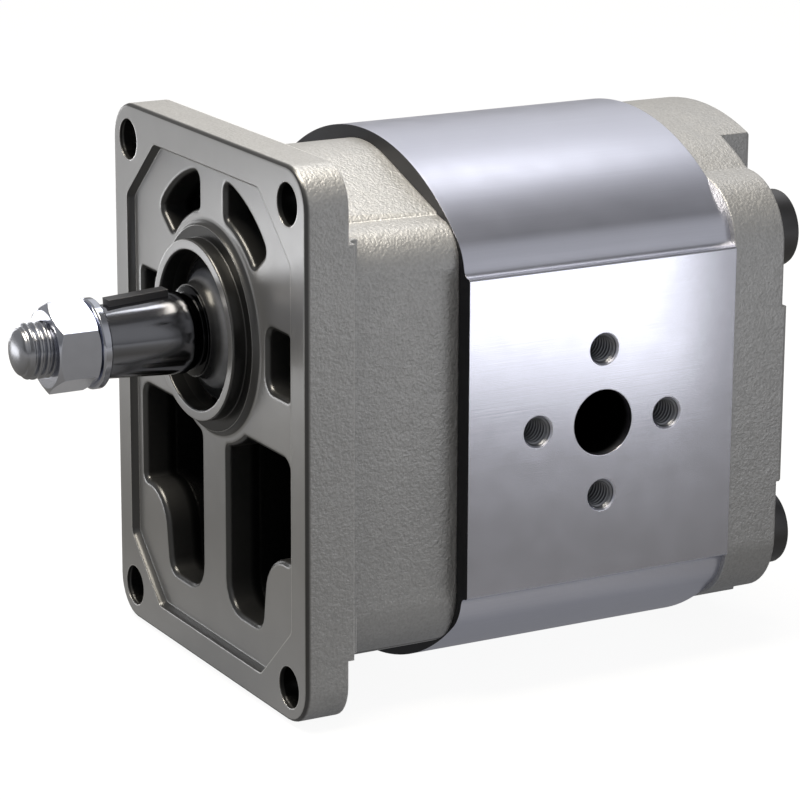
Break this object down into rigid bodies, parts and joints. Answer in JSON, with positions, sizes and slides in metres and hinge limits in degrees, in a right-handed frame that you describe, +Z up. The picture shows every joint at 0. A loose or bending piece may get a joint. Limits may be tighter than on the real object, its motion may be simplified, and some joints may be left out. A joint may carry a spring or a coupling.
{
  "type": "hydraulic gear pump",
  "caption": "External gear pump with a rectangular four-bolt flange, a tapered keyed shaft end with nut, and side ports.",
  "frame": {"origin": "centre of the pilot on the mounting face", "axes": "+Y along the drive shaft into the pump, -Y towards the shaft end, +Z up, outlet port on the +X side"},
  "size_m": [0.0872, 0.1602, 0.1113],
  "materials": {
    "cast_aluminium": "fine sand-cast grain, satin",
    "extruded_aluminium": "bright, drawn along the body",
    "ground_steel": "ground, oiled",
    "zinc_steel": "zinc plated",
    "black_steel": "black oxide",
    "block_alloy": "machined",
    "bronze": "machined",
    "rubber": "smooth moulded",
    "pale_plastic": "smooth"
  },
  "bodies": {
    "housing": {"mounting_flange": "cast_aluminium", "gear_housing": "extruded_aluminium", "rear_cover": "cast_aluminium", "body_bolts": "black_steel", "front_bearing_block": "block_alloy", "rear_bearing_block": "block_alloy", "front_drive_bush": "bronze", "front_driven_bush": "bronze", "rear_drive_bush": "bronze", "rear_driven_bush": "bronze", "front_pressure_seal": "rubber", "rear_pressure_seal": "rubber", "front_backup_ring": "pale_plastic", "rear_backup_ring": "pale_plastic", "front_body_seal": "rubber", "rear_body_seal": "rubber", "shaft_seal": "rubber", "seal_spring": "zinc_steel", "seal_retaining_ring": "black_steel", "front_dowel_pins": "ground_steel", "rear_dowel_pins": "ground_steel"},
    "drive_shaft": {"drive_gear_shaft": "ground_steel", "shaft_key": "black_steel", "shaft_washer": "zinc_steel", "shaft_nut": "zinc_steel", "shaft_dust_ring": "rubber"},
    "driven_shaft": {"driven_gear_shaft": "ground_steel"}
  },
  "joints": [
    {"name": "drive_spin", "type": "hinge", "parent": "housing", "child": "drive_shaft", "pos_m": [0, 0.066, 0], "axis": [0, 1, 0], "continuous": true},
    {"name": "driven_spin", "type": "hinge", "parent": "housing", "child": "driven_shaft", "pos_m": [0, 0.066, -0.0345], "axis": [0, 1, 0], "continuous": true}
  ],
  "couplings": [
    {"joint": "driven_spin", "follows": "drive_spin", "ratio": -1}
  ]
}
